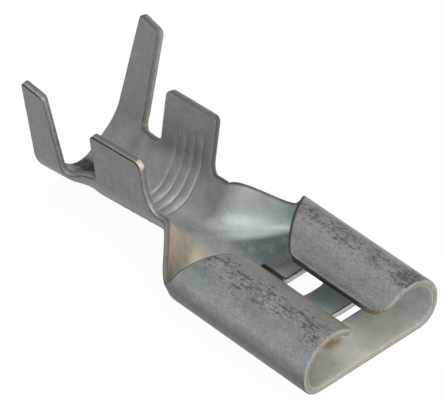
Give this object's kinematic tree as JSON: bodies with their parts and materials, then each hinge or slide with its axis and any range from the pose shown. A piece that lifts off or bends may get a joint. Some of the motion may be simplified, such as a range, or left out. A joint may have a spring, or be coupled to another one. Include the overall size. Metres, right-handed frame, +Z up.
{
  "type": "push-on wire terminal",
  "caption": "Female push-on wire terminal folded from plated brass sheet: rolled receptacle for a flat tab, windowed floor, open grooved wire barrel and taller insulation wings.",
  "frame": {"origin": "centre of the bounding box at its base, the level of the insulation barrel's underside", "axes": "+X towards the mating mouth, +Y across the strip, +Z up, out of the open barrels"},
  "size_m": [0.0176, 0.0076, 0.0068],
  "materials": {
    "plated_brass": "satin tin plate over brass, with fine scuffs and dark pits"
  },
  "bodies": {
    "root": {"terminal": "plated_brass"}
  },
  "joints": []
}
